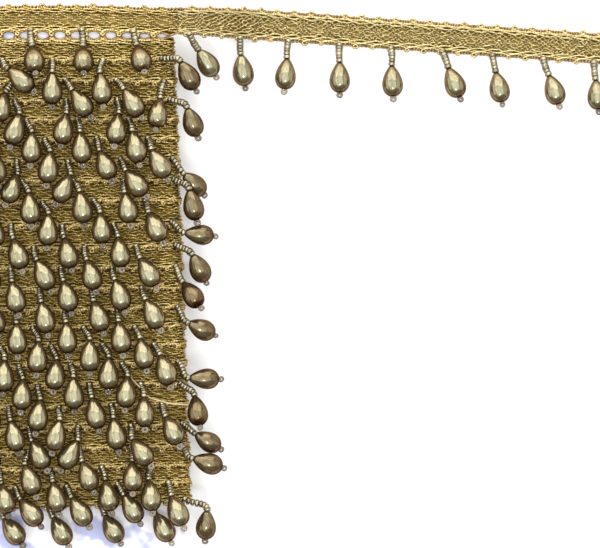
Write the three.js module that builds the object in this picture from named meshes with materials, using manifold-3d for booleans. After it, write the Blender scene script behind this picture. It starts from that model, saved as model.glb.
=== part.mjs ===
// A roll of beaded braid trim: a gold braid wound round a flat card, with drops sewn along its lower edge.
// Millimetres, +Z up. The roll lies on the drops of its back, with its front up and the top of the winding
// towards +Y. The origin is under the middle of the part, on the surface that it rests on.
import * as THREE from 'three';
import { mergeVertices } from 'three/addons/utils/BufferGeometryUtils.js';
import Module from 'manifold-3d';

const wasm = await Module();
wasm.setup();

// Gap between pieces that lie against each other
const GAP = 0.3;

// Card. Heights are measured from the top of the winding at its right edge.
const CARD_WIDTH = 72;
const CARD_THICKNESS = 1.4;
const CARD_TOP = -1.5;
const CARD_BOTTOM = -159.3;
const CARD_CORNER = 1.5;
const CARD_CORNER_STEPS = 3;

// Braid, with its picots, the small loops along its edges
const BRAID_WIDTH = 6.3;
const BRAID_THICKNESS = 1.3;
const PICOT_PITCH = 5;
const PICOT_HEIGHT = 1.3;
const PICOT_SHAPE = [0, 0, 1];

// Winding. Depths are measured out from the card's surface.
const INNER_DEPTH = 0.4;
const STEP_DEPTH = 1.0;
const EDGE_DEPTH = 2.5;
const LEFT_RISE = 2.6;
const OVERLAP = 0.15;
const TOP_OVERLAP = 0.5;

// Lower edging that carries a turn's drops
const EDGING_WIDTH = 1.0;
const EDGING_INNER_DEPTH = EDGE_DEPTH - 0.7;
const EDGING_OUTER_DEPTH = EDGE_DEPTH + 0.5;
const ROOT_DEPTH = EDGE_DEPTH - 0.1;

// Drops: stem, teardrop bead and end bead. Each row is a square ring of the drop:
// how far it is from the root, and half its width.
const DROP_PITCH = 15;
const NECK = 4.3;
const BELLY_HALF = 2.7;
const DROP_RINGS = [
  { along: 0, half: 0.5 },
  { along: NECK, half: 0.8 },
  { along: 9, half: BELLY_HALF },
  { along: 11, half: BELLY_HALF },
  { along: 14.9, half: 0.9 },
];
const FRONT_REST = 4.4;
const LAST_TURN_REST = 1.4;
const BACK_FIRST_DROP = 6;
const BACK_MARGIN = 6;
const BACK_STAGGER = 5;

// How a drop lies: its reach as a share of its length, and its neck's share of the way from root height to
// resting height. The drops of the front stand tilted, so that they reach less.
const TILTED = { reach: 0.87, neckShare: 0.35 };
const LEVEL = { reach: 1, neckShare: 0.51 };
const LONG = { reach: 1.14, neckShare: 0.51 };

// One row for each turn, from the top one down:
//   edge: the turn's lower edge below the top of the winding, at the right edge
//   firstDrop: the front's first drop, in from the right edge
//   swings: degrees that the front's drops swing to the right of straight down, from the first one to the left
//   edgeDrop, edgeSwing, edgeDip: the drop that stands out over the right edge, where the turn has one:
//   its place in from that edge, its swing and how many degrees its bead dips
const TURNS = [
  { edge: 6.3, firstDrop: 12.6, swings: [15, 2, 6, 0] },
  { edge: 15.1, firstDrop: 21.6, swings: [-4, -1, 47, 3], edgeDrop: 5.0, edgeSwing: 60, edgeDip: 12 },
  { edge: 21.3, firstDrop: 18.3, swings: [39, 39, -26, 31], edgeDrop: 3.7, edgeSwing: -14, edgeDip: 0 },
  { edge: 26.9, firstDrop: 17.9, swings: [-3, -7, -3, -7], edgeDrop: 2.9, edgeSwing: 46, edgeDip: 18 },
  { edge: 32.6, firstDrop: 14.9, swings: [15, 8, 9, 6] },
  { edge: 38.2, firstDrop: 9.6, swings: [27, 21, 6, 5, 22] },
  { edge: 44.5, firstDrop: 17.8, swings: [37, -14, -15, 33], edgeDrop: 2.6, edgeSwing: 44, edgeDip: 30 },
  { edge: 50.4, firstDrop: 16.9, swings: [8, 19, 17, 2], edgeDrop: 2.6, edgeSwing: 38, edgeDip: 8 },
  { edge: 56.5, firstDrop: 11.0, swings: [24, 16, 10, 6] },
  { edge: 63.4, firstDrop: 20.4, swings: [13, 12, 14, 10], edgeDrop: 3.7, edgeSwing: 74, edgeDip: 20 },
  { edge: 69.9, firstDrop: 14.0, swings: [27, 14, 22, 16], edgeDrop: 2.6, edgeSwing: 48, edgeDip: 24 },
  { edge: 75.9, firstDrop: 21.0, swings: [15, 12, 10, 12], edgeDrop: 2.6, edgeSwing: 32, edgeDip: 0 },
  { edge: 82.0, firstDrop: 12.6, swings: [24, 16, 10, 12] },
  { edge: 88.0, firstDrop: 20.0, swings: [6, 1, 3, 0], edgeDrop: 2.6, edgeSwing: 52, edgeDip: 28 },
  { edge: 93.4, firstDrop: 15.2, swings: [18, 12, 9, 4] },
  { edge: 98.6, firstDrop: 9.8, swings: [25, 11, 6, 6, 5] },
  { edge: 104.1, firstDrop: 19.4, swings: [8, 6, 4, 2], edgeDrop: 3.2, edgeSwing: 64, edgeDip: 20 },
  { edge: 110.2, firstDrop: 14.0, swings: [7, 12, -2, 6], edgeDrop: 2.6, edgeSwing: 32, edgeDip: 0 },
  { edge: 116.3, firstDrop: 7.9, swings: [23, 10, -9, 12, 8] },
  { edge: 122.4, firstDrop: 17.4, swings: [26, -23, 24, 26], edgeDrop: 2.6, edgeSwing: 60, edgeDip: 24 },
  { edge: 128.8, firstDrop: 17.8, swings: [5, 20, 6, 6], edgeDrop: 2.9, edgeSwing: 62, edgeDip: 18 },
  { edge: 134.4, firstDrop: 11.4, swings: [-3, 14, 12, 12] },
  { edge: 139.6, firstDrop: 7.0, swings: [20, 34, 32, 36, 15] },
  { edge: 144.8, firstDrop: 12.2, swings: [27, 28, 26, 34], edgeDrop: 2.6, edgeSwing: 40, edgeDip: 20 },
];

// Loose end: it leaves the top turn, comes down to the surface and lies there
const TAIL_GAP = 0.6;
const TAIL_LENGTH = 130;
const TAIL_FALL = 30;
const TAIL_BEND = 20;
const TAIL_START_SLOPE = 0.034;
const TAIL_SLOPE = 0.105;
const TAIL_EDGING_STEPS = 6;
const TAIL_FIRST_DROP = 3;
const TAIL_ROOT_HEIGHT = 0.85;
const TAIL_MOST_FALL = 4.5;
const TAIL_HEADING_REACH = 0.5;
const TAIL_SWINGS = [31, 6, -7, -2, 1, 19, 9, 16, 3];

// Sizes that follow from the ones above
const HALF_CARD_WIDTH = CARD_WIDTH / 2;
const HALF_CARD = CARD_THICKNESS / 2;
const ROLL_WIDTH = CARD_WIDTH + 2 * EDGE_DEPTH;
const ROLL_RIGHT = ROLL_WIDTH / 2;
const MIDDLE_Z = 2 * BELLY_HALF + GAP + EDGING_OUTER_DEPTH + HALF_CARD;
const FRONT_Z = MIDDLE_Z + HALF_CARD + EDGE_DEPTH;
const ROOT_DROP = GAP + EDGING_WIDTH / 2;
const LAST_TURN = TURNS.length - 1;
const PICOT_STEP = PICOT_PITCH / PICOT_SHAPE.length;

const UP = new THREE.Vector3(0, 0, 1);
const ALONG_Y = new THREE.Vector3(0, 1, 0);
const degrees = THREE.MathUtils.degToRad;
const { lerp, smoothstep, clamp } = THREE.MathUtils;

const MATERIALS = {
  card: new THREE.MeshStandardMaterial({ color: 0xeceaf0, roughness: 0.8, metalness: 0 }),
  braid: new THREE.MeshStandardMaterial({ color: 0xb8964a, roughness: 0.45, metalness: 0.6 }),
  drops: new THREE.MeshStandardMaterial({ color: 0xc2a468, roughness: 0.25, metalness: 0.5 }),
};

// Solids from rings of points

// A closed body through rings of equal count, with its two ends closed by the given triangles of a ring.
function loft(rings, endTriangles) {
  const count = rings[0].length;
  const index = [];
  for (let ring = 0; ring < rings.length - 1; ring += 1) {
    for (let point = 0; point < count; point += 1) {
      const here = ring * count + point;
      const beside = ring * count + ((point + 1) % count);
      index.push(here, beside, beside + count, here, beside + count, here + count);
    }
  }
  const last = (rings.length - 1) * count;
  for (const [a, b, c] of endTriangles) {
    index.push(c, b, a, last + a, last + b, last + c);
  }
  const geometry = new THREE.BufferGeometry().setFromPoints(rings.flat());
  geometry.setIndex(index);
  return geometry;
}

const SQUARE_END = [[0, 1, 2], [0, 2, 3]];

// Four points in the plane of two directions, between two distances along each.
function ringOf(base, across, out, low, high, inner, outer) {
  const corners = [[low, inner], [high, inner], [high, outer], [low, outer]];
  return corners.map(([side, depth]) =>
    base.clone().addScaledVector(across, side).addScaledVector(out, depth));
}

function solidOf(geometry) {
  const merged = mergeVertices(geometry);
  return new wasm.Manifold(new wasm.Mesh({
    numProp: 3,
    vertProperties: new Float32Array(merged.attributes.position.array),
    triVerts: new Uint32Array(merged.index.array),
  }));
}

function fuse(geometries) {
  const joined = geometries.map(solidOf).reduce((sum, solid) => sum.add(solid));
  const { vertProperties, triVerts } = joined.getMesh();
  const geometry = new THREE.BufferGeometry();
  geometry.setAttribute('position', new THREE.BufferAttribute(vertProperties, 3));
  geometry.setIndex(new THREE.BufferAttribute(triVerts, 1));
  return geometry;
}

function meshOf(name, geometry, material) {
  const mesh = new THREE.Mesh(geometry, material);
  mesh.name = name;
  return mesh;
}

// The way round the card

// A place on the card's surface: where it is, which way it faces, and how far it is from left (0) to right (1).
function place(x, z, outX, outZ) {
  return {
    surface: new THREE.Vector3(x, 0, MIDDLE_Z + z),
    out: new THREE.Vector3(outX, 0, outZ).normalize(),
    across: x / CARD_WIDTH + 0.5,
  };
}

// From the left edge over the front (side 1) or the back (side -1) to the right edge.
function wayAcross(side) {
  return [
    place(-HALF_CARD_WIDTH, -side * OVERLAP, -1, 0),
    place(-HALF_CARD_WIDTH, side * HALF_CARD, -1, side),
    place(-HALF_CARD_WIDTH, side * HALF_CARD, 0, side),
    place(HALF_CARD_WIDTH, side * HALF_CARD, 0, side),
    place(HALF_CARD_WIDTH, side * HALF_CARD, 1, side),
    place(HALF_CARD_WIDTH, 0, 1, 0),
  ];
}

function leftEdge(turn) {
  const { edge } = TURNS[turn];
  return edge - LEFT_RISE * (1 - edge / TURNS[LAST_TURN].edge);
}

// Height of a turn's lower edge. Behind the card it climbs to the left edge of the turn above.
function frontEdgeY(turn, across) {
  return -lerp(leftEdge(turn), TURNS[turn].edge, across);
}

function backEdgeY(turn, across) {
  return -lerp(leftEdge(turn - 1), TURNS[turn].edge, across);
}

// Wound braid

// The winding's section below the top turn at one place on its way round, from the lowest turn up.
// Each turn slopes out to its lower edge and steps back under it.
function windingSection(edgeY, topY, across) {
  const points = [new THREE.Vector2(INNER_DEPTH, edgeY(LAST_TURN, across))];
  for (let turn = LAST_TURN; turn >= 1; turn -= 1) {
    const upper = turn === 1 ? topY(across) : edgeY(turn - 1, across);
    points.push(new THREE.Vector2(EDGE_DEPTH, edgeY(turn, across)), new THREE.Vector2(STEP_DEPTH, upper));
  }
  points.push(new THREE.Vector2(INNER_DEPTH, topY(across)));
  return points;
}

// Rings of that section from the right edge to the left one, over the front or the back.
function windingRings(side, edgeY, topY) {
  return wayAcross(side).reverse().map(({ surface, out, across }) =>
    windingSection(edgeY, topY, across).map(({ x: depth, y }) =>
      surface.clone().setY(y).addScaledVector(out, depth)));
}

// The top turn runs over the front only and on to the right edge, where the loose end begins.
function topTurn() {
  const corner = wayAcross(1).slice(0, 2);
  const run = [];
  for (let x = -HALF_CARD_WIDTH; x < ROLL_RIGHT; x += PICOT_STEP) {
    run.push(place(x, HALF_CARD, 0, 1));
  }
  run.push(place(ROLL_RIGHT, HALF_CARD, 0, 1));
  const rings = [...corner, ...run].map(({ surface, out, across }, step) => {
    const picot = PICOT_HEIGHT * PICOT_SHAPE[step % PICOT_SHAPE.length];
    const base = surface.clone().setY(frontEdgeY(0, across));
    return ringOf(base, ALONG_Y, out, 0, BRAID_WIDTH + picot, INNER_DEPTH, EDGE_DEPTH);
  });
  return loft(rings, SQUARE_END);
}

// The back's rings go on from the front's at the right edge. A last stretch meets the front at the left edge.
function woundBraid() {
  const frontTop = (across) => frontEdgeY(0, across) + TOP_OVERLAP;
  const backTop = (across) => lerp(BRAID_WIDTH - leftEdge(0), frontTop(1), across);
  const front = windingRings(1, frontEdgeY, frontTop);
  const back = windingRings(-1, backEdgeY, backTop);
  const end = THREE.ShapeUtils.triangulateShape(windingSection(frontEdgeY, frontTop, 0), []);
  const turned = [...back.slice(1, -1).reverse(), ...front];
  const closing = back.slice(-2).reverse();
  return fuse([loft(turned, end), loft(closing, end), topTurn()]);
}

// Drops

// A drop from its root, swung from straight down, with its bead resting at a height or dipping from its neck.
function drop(root, swing, { reach, neckShare }, restZ, dip) {
  const heading = new THREE.Vector3(Math.sin(swing), -Math.cos(swing), 0);
  const sideways = new THREE.Vector3().crossVectors(UP, heading);
  const rings = DROP_RINGS.map(({ along, half }) => {
    const bellyShare = dip > 0 ? neckShare : 1;
    const rise = along > NECK ? bellyShare : (neckShare * along) / NECK;
    const fall = Math.tan(dip) * Math.max(0, along - NECK);
    const centre = root.clone().addScaledVector(heading, along * reach);
    centre.z = lerp(root.z, restZ, rise) - fall;
    return ringOf(centre, sideways, UP, -half, half, -half, half);
  });
  return loft(rings, SQUARE_END);
}

// The places of a turn's drops on the front, in from the right edge.
function frontPlaces(turn) {
  const { firstDrop, swings, edgeDrop, edgeSwing, edgeDip } = TURNS[turn];
  const places = swings.map((swing, number) =>
    ({ inset: firstDrop + number * DROP_PITCH, swing, lie: TILTED, dip: 0 }));
  if (edgeDrop) {
    places.push({ inset: edgeDrop, swing: edgeSwing, lie: LEVEL, dip: edgeDip });
  }
  return places;
}

function frontDrops(turn) {
  const rest = turn === LAST_TURN ? LAST_TURN_REST : FRONT_REST;
  return frontPlaces(turn).map(({ inset, swing, lie, dip }) => {
    const x = ROLL_RIGHT - inset;
    const y = frontEdgeY(turn, clamp(x / CARD_WIDTH + 0.5, 0, 1)) - ROOT_DROP;
    const root = new THREE.Vector3(x, y, MIDDLE_Z + HALF_CARD + ROOT_DEPTH);
    return drop(root, degrees(swing), lie, FRONT_Z + rest, degrees(dip));
  });
}

// The drops of the back hang straight down, staggered from turn to turn, and lie level on the surface.
function backDrops(turn) {
  const drops = [];
  const first = BACK_FIRST_DROP + ((turn * BACK_STAGGER) % DROP_PITCH);
  for (let inset = first; inset < ROLL_WIDTH - BACK_MARGIN; inset += DROP_PITCH) {
    const x = ROLL_RIGHT - inset;
    const y = backEdgeY(turn, clamp(x / CARD_WIDTH + 0.5, 0, 1)) - ROOT_DROP;
    const root = new THREE.Vector3(x, y, MIDDLE_Z - HALF_CARD - ROOT_DEPTH);
    drops.push(drop(root, 0, LEVEL, BELLY_HALF, 0));
  }
  return drops;
}

// A turn's lower edging: over the front, and but for the top turn round the right edge and along the back.
function edging(turn) {
  const front = wayAcross(1).slice(1, turn === 0 ? 4 : 5);
  const back = turn === 0 ? [] : wayAcross(-1).slice(1).reverse();
  const ringAt = (edgeY) => ({ surface, out, across }) => {
    const base = surface.clone().setY(edgeY(turn, across));
    const low = -GAP - EDGING_WIDTH;
    return ringOf(base, ALONG_Y, out, low, -GAP, EDGING_INNER_DEPTH, EDGING_OUTER_DEPTH);
  };
  const rings = [...front.map(ringAt(frontEdgeY)), ...back.map(ringAt(backEdgeY))];
  return loft(rings, SQUARE_END);
}

function turnDrops(turn) {
  const behind = turn === 0 ? [] : backDrops(turn);
  return fuse([edging(turn), ...frontDrops(turn), ...behind]);
}

// Loose end

// The underside's middle line, a distance along from the roll's right edge.
function tailPoint(along) {
  const bend = Math.min(along, TAIL_BEND);
  const bendFall = TAIL_START_SLOPE * bend + ((TAIL_SLOPE - TAIL_START_SLOPE) * bend * bend) / (2 * TAIL_BEND);
  const fall = bendFall + TAIL_SLOPE * (along - bend);
  const startY = frontEdgeY(0, 1) + BRAID_WIDTH / 2;
  const startZ = FRONT_Z - BRAID_THICKNESS;
  return new THREE.Vector3(
    ROLL_RIGHT + TAIL_GAP + along,
    startY - fall,
    startZ * (1 - smoothstep(along, 0, TAIL_FALL)),
  );
}

function tailRing(along, low, high) {
  const behind = Math.max(0, along - TAIL_HEADING_REACH);
  const ahead = tailPoint(along + TAIL_HEADING_REACH).sub(tailPoint(behind)).normalize();
  const across = new THREE.Vector3().crossVectors(UP, ahead).normalize();
  const out = new THREE.Vector3().crossVectors(ahead, across);
  return ringOf(tailPoint(along), across, out, low, high, 0, BRAID_THICKNESS);
}

function tailBraid() {
  const rings = [];
  for (let step = 0; step * PICOT_STEP <= TAIL_LENGTH; step += 1) {
    const picot = PICOT_HEIGHT * PICOT_SHAPE[step % PICOT_SHAPE.length];
    rings.push(tailRing(step * PICOT_STEP, -BRAID_WIDTH / 2, BRAID_WIDTH / 2 + picot));
  }
  return loft(rings, SQUARE_END);
}

// The lower edging and the drops of one stretch of the loose end.
function tailDrops(start, end) {
  const high = -BRAID_WIDTH / 2 - GAP;
  const low = high - EDGING_WIDTH;
  const rings = [];
  for (let step = 0; step <= TAIL_EDGING_STEPS; step += 1) {
    rings.push(tailRing(lerp(start, end, step / TAIL_EDGING_STEPS), low, high));
  }
  const pieces = [loft(rings, SQUARE_END)];
  TAIL_SWINGS.forEach((swing, number) => {
    const along = TAIL_FIRST_DROP + number * DROP_PITCH;
    if (along > start && along < end) {
      const [lower, upper] = tailRing(along, low, high);
      const root = lower.lerp(upper, 0.5);
      root.z += TAIL_ROOT_HEIGHT;
      const restZ = Math.max(BELLY_HALF, root.z - TAIL_MOST_FALL);
      pieces.push(drop(root, degrees(swing), LONG, restZ, 0));
    }
  });
  return fuse(pieces);
}

// Card

function card() {
  const height = CARD_TOP - CARD_BOTTOM;
  const straightX = HALF_CARD_WIDTH - CARD_CORNER;
  const straightY = height / 2 - CARD_CORNER;
  const outline = new THREE.Shape();
  outline.absarc(straightX, straightY, CARD_CORNER, 0, Math.PI / 2);
  outline.absarc(-straightX, straightY, CARD_CORNER, Math.PI / 2, Math.PI);
  outline.absarc(-straightX, -straightY, CARD_CORNER, Math.PI, 1.5 * Math.PI);
  outline.absarc(straightX, -straightY, CARD_CORNER, 1.5 * Math.PI, 2 * Math.PI);
  return new THREE.ExtrudeGeometry(outline, {
    depth: CARD_THICKNESS,
    bevelEnabled: false,
    curveSegments: CARD_CORNER_STEPS,
  });
}

// The whole roll, moved so that its box stands centred on the origin

const roll = new THREE.Group();
const cardMesh = meshOf('card', card(), MATERIALS.card);
cardMesh.position.set(0, (CARD_TOP + CARD_BOTTOM) / 2, MIDDLE_Z - HALF_CARD);
roll.add(cardMesh, meshOf('wound_braid', woundBraid(), MATERIALS.braid));
TURNS.forEach((row, turn) => {
  const number = String(turn + 1).padStart(2, '0');
  roll.add(meshOf(`turn_${number}_drops`, turnDrops(turn), MATERIALS.drops));
});
roll.add(meshOf('tail_braid', tailBraid(), MATERIALS.braid));
roll.add(meshOf('tail_fall_drops', tailDrops(0, TAIL_FALL - GAP), MATERIALS.drops));
roll.add(meshOf('tail_drops', tailDrops(TAIL_FALL, TAIL_LENGTH), MATERIALS.drops));

const middle = new THREE.Box3().setFromObject(roll).getCenter(new THREE.Vector3());
roll.position.set(-middle.x, -middle.y, 0);

const part = new THREE.Group();
part.add(roll);

export default part;
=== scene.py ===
from collections import namedtuple

import bpy
import numpy as np
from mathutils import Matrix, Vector


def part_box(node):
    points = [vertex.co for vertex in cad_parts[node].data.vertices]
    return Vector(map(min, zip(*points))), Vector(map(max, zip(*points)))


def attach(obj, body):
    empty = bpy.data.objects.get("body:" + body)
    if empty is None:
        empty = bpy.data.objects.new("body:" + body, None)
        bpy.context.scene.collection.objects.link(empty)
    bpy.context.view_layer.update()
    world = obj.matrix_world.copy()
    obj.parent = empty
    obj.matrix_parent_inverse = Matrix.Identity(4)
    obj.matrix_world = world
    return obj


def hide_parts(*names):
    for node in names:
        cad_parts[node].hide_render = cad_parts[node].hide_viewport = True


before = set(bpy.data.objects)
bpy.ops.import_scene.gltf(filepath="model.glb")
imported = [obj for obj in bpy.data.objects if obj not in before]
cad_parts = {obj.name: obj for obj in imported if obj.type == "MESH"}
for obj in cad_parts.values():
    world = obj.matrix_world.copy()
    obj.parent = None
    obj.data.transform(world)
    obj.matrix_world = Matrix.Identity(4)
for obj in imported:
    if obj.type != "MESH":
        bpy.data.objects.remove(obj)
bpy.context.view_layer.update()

# A roll of beaded braid trim on a card. Sizes are in millimetres until a mesh is made. Roll coordinates:
# x from the card's middle line, y from the top of the winding at its right edge, z from the floor.
MM = 0.001
UP = np.array([0.0, 0.0, 1.0])
NEARLY_UP = UP + 0.0001
GOLDEN_RATIO = 0.6180339887

# Random draws: one seed for all of them, and a second one for each curve that wavers, to which a yarn's
# number or an edge's side is added
SEED = 7
ROW_SEED = 1
BODY_SEED = 9
DRIFT_SEED = 10
SWAY_SEED = 30
SWELL_SEED = 50
EDGING_SEED = 90
PICOT_SEED = 100
STRAY_SEED = 103

# A curve that wavers: the number of waves in it, the range of their lengths, and what their sum is divided by
WAVER_WAVES = 4
WAVER_LENGTHS = (0.6, 1.7)
WAVER_REACH = 2.2

# Card and winding, as in the model: the winding's depth on each side of the card, the rise of the top turn to
# the left, and the places of the drops' roots below the braid's edge and off the card
CARD_WIDTH = 72.0
CARD_TOP = -1.5
EDGE_DEPTH = 2.5
LEFT_RISE = 2.6
ROOT_DROP = 0.8
ROOT_DEPTH = 2.4
BACK_MARGIN = 6.0

# One row for each turn, from the top one down, as in the model.
#   edge: the braid's lower edge at the right
#   first_drop: the front's first drop, in from the right edge
#   swings: degrees that the front's drops swing to the right of straight down, from the first one to the left
#   edge_drop, edge_swing, edge_dip: place, swing and dip of the drop that hangs over the right edge
#   bead_swing: the swing of that drop's bead, which hangs from its bent stem
Turn = namedtuple("Turn", "edge first_drop swings edge_drop edge_swing edge_dip bead_swing",
                  defaults=(None, 0, 0, 0))
TURNS = [
    Turn(6.3, 12.6, (15, 2, 6, 0)),
    Turn(15.1, 21.6, (-4, -1, 47, 3), 5.0, 60, 12, 26),
    Turn(21.3, 18.3, (39, 39, -26, 31), 3.7, -14, 0, -10),
    Turn(26.9, 17.9, (-3, -7, -3, -7), 2.9, 46, 18, 18),
    Turn(32.6, 14.9, (15, 8, 9, 6)),
    Turn(38.2, 9.6, (27, 21, 6, 5, 22)),
    Turn(44.5, 17.8, (37, -14, -15, 33), 2.6, 44, 30, 42),
    Turn(50.4, 16.9, (8, 19, 17, 2), 2.6, 38, 8, 12),
    Turn(56.5, 11.0, (24, 16, 10, 6)),
    Turn(63.4, 20.4, (13, 12, 14, 10), 3.7, 74, 20, 78),
    Turn(69.9, 14.0, (27, 14, 22, 16), 2.6, 48, 24, 24),
    Turn(75.9, 21.0, (15, 12, 10, 12), 2.6, 32, 0, 34),
    Turn(82.0, 12.6, (24, 16, 10, 12)),
    Turn(88.0, 20.0, (6, 1, 3, 0), 2.6, 52, 28, 62),
    Turn(93.4, 15.2, (18, 12, 9, 4)),
    Turn(98.6, 9.8, (25, 11, 6, 6, 5)),
    Turn(104.1, 19.4, (8, 6, 4, 2), 3.2, 64, 20, 86),
    Turn(110.2, 14.0, (7, 12, -2, 6), 2.6, 32, 0, 8),
    Turn(116.3, 7.9, (23, 10, -9, 12, 8)),
    Turn(122.4, 17.4, (26, -23, 24, 26), 2.6, 60, 24, 48),
    Turn(128.8, 17.8, (5, 20, 6, 6), 2.9, 62, 18, 70),
    Turn(134.4, 11.4, (-3, 14, 12, 12)),
    Turn(139.6, 7.0, (20, 34, 32, 36, 15)),
    Turn(144.8, 12.2, (27, 28, 26, 34), 2.6, 40, 20, -6),
]

# Drops. Places along a drop are measured from its root. A lie says how far it reaches for its size, and how
# much of the way from its root's height to its belly's height it has gone at its neck. A rest is the height
# of its belly, over the winding's front or over the floor. A lean is a range of degrees.
Lie = namedtuple("Lie", "reach neck_share")
TILTED = Lie(0.87, 0.35)
LEVEL = Lie(1.0, 0.51)
LONG = Lie(1.14, 0.51)
DROP_PITCH = 15.0
NECK = 4.3
BELLY = 10.0
FRONT_REST = 4.4
LAST_TURN_REST = 1.4
FLOOR_REST = 3.2
FRONT_LEAN = (4, 15)
TOP_LEAN = (33, 39)
BACK_FIRST_DROP = 6.0
BACK_STAGGER = 5.0
ROOT_LIFT = 0.5
TAIL_ROOT = 0.0

# How a bead that would touch another one is moved clear: small moves about its belly, each of which tips it
# up or turns it to the right by degrees, or lifts it
BEAD_CLEARANCE = 0.1
BEAD_MOVES = [(1.5, 0, 0), (-1.5, 0, 0), (0, 2, 0), (0, -2, 0), (0, 0, 0.2), (0, 0, -0.2)]
MOST_MOVES = 40
MOST_BEAD_TURN = 14.0
MOST_BEAD_LIFT = 2.2
MOST_BEAD_FALL = 0.6

# Beads and threads of a drop. The stem bead's profile has shares of its length, from its middle, and of its
# radius.
BEAD_LENGTH = 9.2
BEAD_RADIUS = 3.1
BEAD_TAPER = 0.8
BEAD_NECK_ANGLE = 0.54
BEAD_RINGS = 12
BEAD_SIDES = 20
BEAD_SIZES = (0.97, 1.02)
STEM_BEAD_LENGTH = 1.1
STEM_BEAD_RADIUS = 1.1
STEM_BEAD_PROFILE = [(-0.5, 0), (-0.48, 0.76), (-0.34, 0.95), (0, 1), (0.34, 0.95), (0.48, 0.76), (0.5, 0)]
STEM_BEAD_SIZES = (0.93, 1.07)
STEM_BEAD_SIDES = 7
STEM_EASE = 0.4
STEM_BEND = 0.45
END_BEAD_RADIUS = 0.66
END_BEAD_THICKNESS = 0.42
END_BEAD_STEPS = 11
END_BEAD_SIDES = 6
END_BEAD_SIZES = (0.9, 1.08)
END_BEAD_TURN = 0.25
THREAD_RADIUS = 0.2

# Loose end. A slope is its fall along y for each millimetre along x, and the sag lowers it where it leaves
# the roll.
TAIL_GAP = 0.6
TAIL_LENGTH = 130.0
TAIL_FALL = 30.0
TAIL_BEND = 20.0
TAIL_START_SLOPE = 0.034
TAIL_SLOPE = 0.105
TAIL_FIRST_DROP = 3.0
TAIL_ROOT_HEIGHT = 0.85
TAIL_MOST_FALL = 4.5
TAIL_HEADING_REACH = 0.5
TAIL_SPREAD = 1.12
TAIL_SAG = 0.6
TAIL_SAG_START = 30.0
TAIL_SWINGS = [31, 6, -7, -2, 1, 19, 9, 16, 3]

# Braid. Places across it are measured up from its lower edge. A tilt is how far out of its layer an edge
# lies. Lengths over which picots differ are counted in picots.
BRAID_WIDTH = 6.3
BRAID_THICKNESS = 1.3
CORNER_DEPTH = 1.6
LAYER_DEPTH = 1.95
LOW_TILT = 0.05
HIGH_TILT = -0.7
SIDE_TILT = -0.35
TILT_RELEASE = 25.0
ROW_WAVER = 0.2
ROW_WAVER_LENGTH = 45.0
TUCK = 0.35
DRAWN_IN = 0.91
BODY_YARNS = 7
TAIL_BODY_YARNS = 9
BODY_LOW = 0.95
BODY_HIGH = 5.35
YARN_RADIUS = 0.26
YARN_WAVE = 3.1
TAIL_YARN_WAVE = 2.0
YARN_SWAY = 0.24
TAIL_YARN_SWAY = 0.3
YARN_LIFT = 0.26
YARN_UNEVEN = 0.3
YARN_DRIFT = 2.0
BODY_DRIFT = 1.2
YARN_DRIFT_LENGTH = 5.0
YARN_SWELL_LENGTH = 5.0
YARN_STEP = 0.44
TAIL_YARN_STEP = 0.3
CORD_LOW = 0.6
CORD_HIGH = 5.7
CORD_TWIST = 10.0
CORD_SPREAD = 0.42
CORD_RISE = 0.24
CORD_RADIUS = 0.36
CORD_LIFT = 0.2
CORD_STEP = 0.6
EDGING_OFFSET = 0.82
EDGING_WAVE = 1.67
EDGING_SWAY = 0.34
EDGING_LIFT = 0.18
EDGING_RADIUS = 0.33
EDGING_STEP = 0.28
OPEN_EDGING = 1.5
HOLE_EDGING = 0.4
HOLE_SCALLOP = 0.7
PICOT_PITCH = 5.0
PICOT_OFFSET = 0.45
TOP_PICOT_SHIFT = 1.4
LOW_PICOT_SHIFT = -1.3
PICOT_HEIGHT = 1.3
PICOT_CURL = 1.6
PICOT_UNEVEN = 0.1
PICOT_UNEVEN_LENGTH = 2.3
PICOT_STRAY = 0.2
PICOT_STRAY_LENGTH = 3.0
HOLE_PICOTS = 1.4
PICOT_LIFT = 0.14
PICOT_RADIUS = 0.42
PICOT_STEPS = 15
CORE_LOW = -0.55
CORE_HIGH = 6.85
CORE_DEPTH = -0.22
CORE_THICKNESS = 0.16
CORE_STEP = 1.2
BACK_STEP = 1.6
TURNS_IN_A_PIECE = 6

# A stitch that has come loose on the front: the points that it passes, in roll coordinates
LOOSE_STITCH = [(20.8, -105.3, 12.6), (22.2, -108.6, 13.6), (27.2, -114.3, 14.4), (33.4, -116.2, 14.0),
                (38.9, -116.8, 12.6)]
LOOSE_STITCH_RADIUS = 0.27
LOOSE_STITCH_SIDES = 6
LOOSE_STITCH_STEPS = 8

# Lights, in metres and watts: each one is a soft rectangle that faces the frame's origin
Lamp = namedtuple("Lamp", "name place size power")
LAMPS = [
    Lamp("overhead", (-0.05, 0.15, 1.7), (3.0, 2.6), 47),
    Lamp("far_side", (-0.1, 2.1, 0.95), (3.6, 1.9), 66),
    Lamp("left_side", (-1.7, 0.3, 0.72), (2.2, 1.35), 12.0),
    Lamp("right_side", (1.7, 0.3, 0.72), (2.2, 1.35), 9.0),
    Lamp("small_lamp", (0.03, -0.55, 1.45), (0.14, 0.14), 3.6),
]
WORLD_STRENGTH = 0.42
FLOOR_SIZE = 8.0

# Camera: straight down on the roll, turned as the card is in the photograph
VIEW_WIDTH = 176.5
VIEW_MIDDLE = (72.6, -79.4)
VIEW_TURN = -0.0345
CAMERA_LENS = 400.0
SENSOR_WIDTH = 36.0

# Painted shade, which darkens a bead's colour for the shade on it: its depth at the bead's end, the power by
# which it deepens on the way there, and its depth all over the beads at the right edge and on the loose end
END_PAINTED_SHADE = 0.5
END_PAINTED_SHADE_POWER = 9
EDGE_PAINTED_SHADE = 0.25
TAIL_PAINTED_SHADE = 0.03

# Strands' own numbers, from 0 to 1, and how far they part the noise of one strand from that of the next
PICOT_NUMBER = 0.5
STITCH_NUMBER = 0.5
THREAD_NUMBER = 0.2
STRAND_SPREAD = 40.0
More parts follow.
